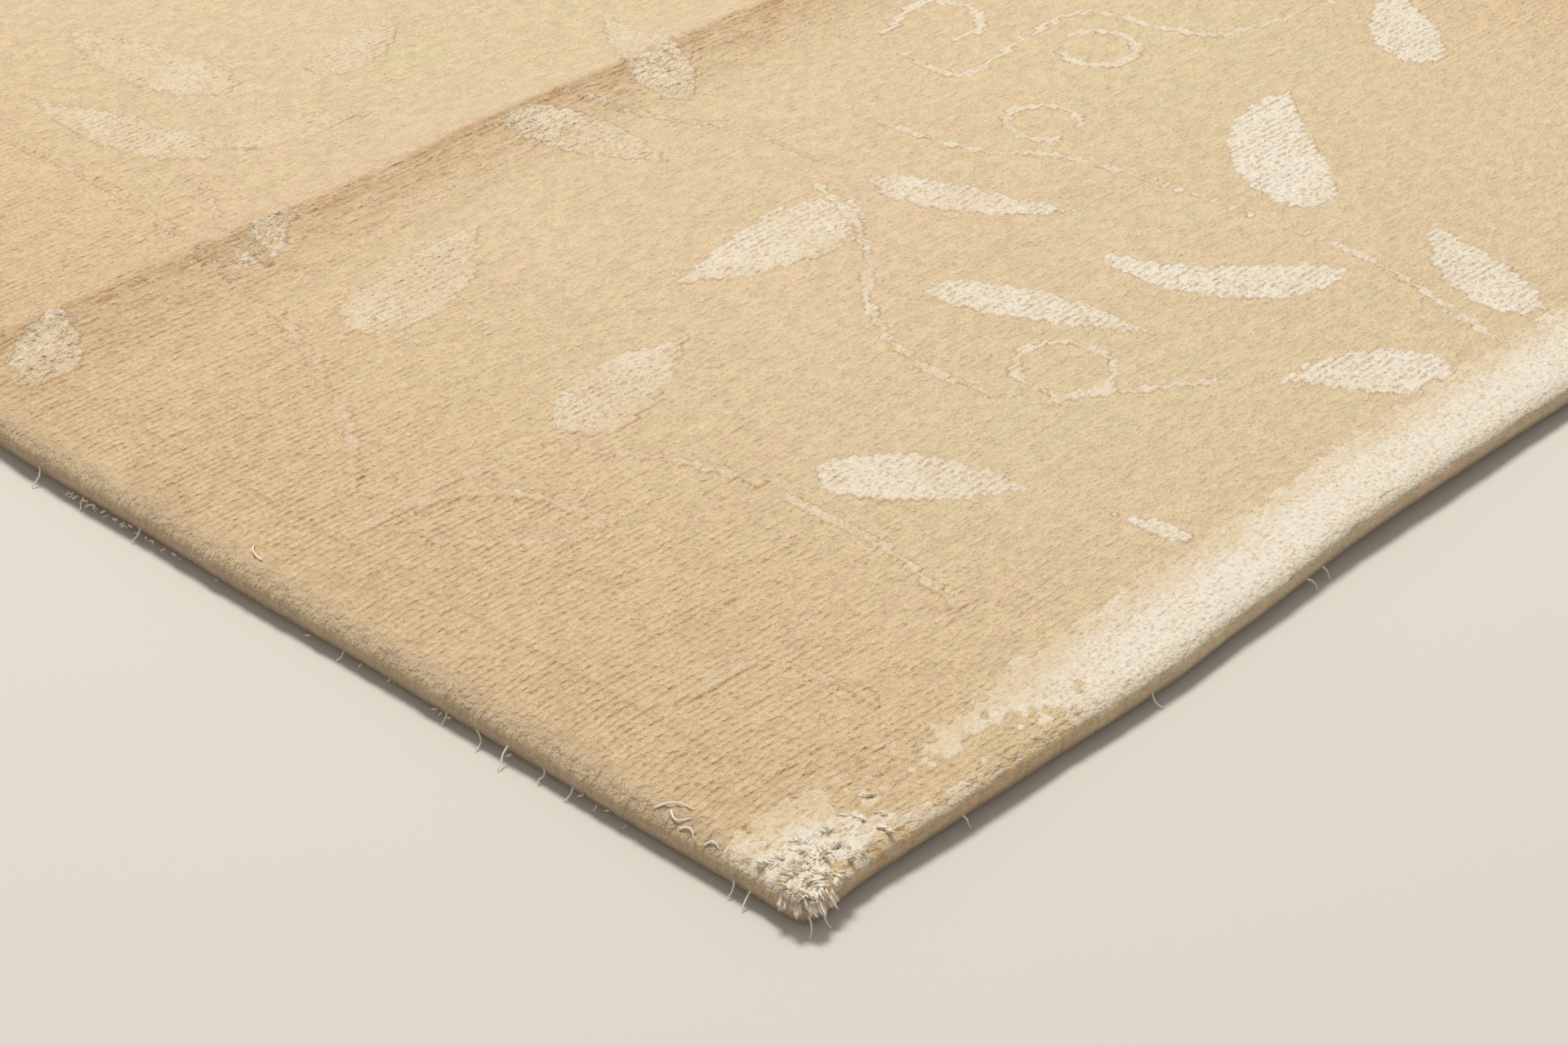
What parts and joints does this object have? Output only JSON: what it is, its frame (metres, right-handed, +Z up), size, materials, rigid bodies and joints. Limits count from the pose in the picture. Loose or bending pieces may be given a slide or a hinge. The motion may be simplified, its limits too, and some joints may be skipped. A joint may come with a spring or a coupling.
{
  "type": "nepalese rug",
  "caption": "Small rectangular hand-knotted rug in sand wool with raised silk leaves, tendrils and bands at its ends, lying flat with a low storage fold across it.",
  "frame": {"origin": "middle of the underside, on the floor", "axes": "+Z up out of the pile; Y along the rug, the end shown in the picture towards -Y; X across it, along the rows of knots"},
  "size_m": [0.62, 0.9166, 0.0137],
  "materials": {
    "pile": "clipped sand-coloured wool pile in fine rows, matt with a faint sheen",
    "silk": "lustrous cream silk pile of the leaves, tendrils and end bands",
    "foundation": "undyed cotton warp and weft with the backs of the knots, matt"
  },
  "bodies": {
    "root": {"rug": "pile"}
  },
  "joints": []
}
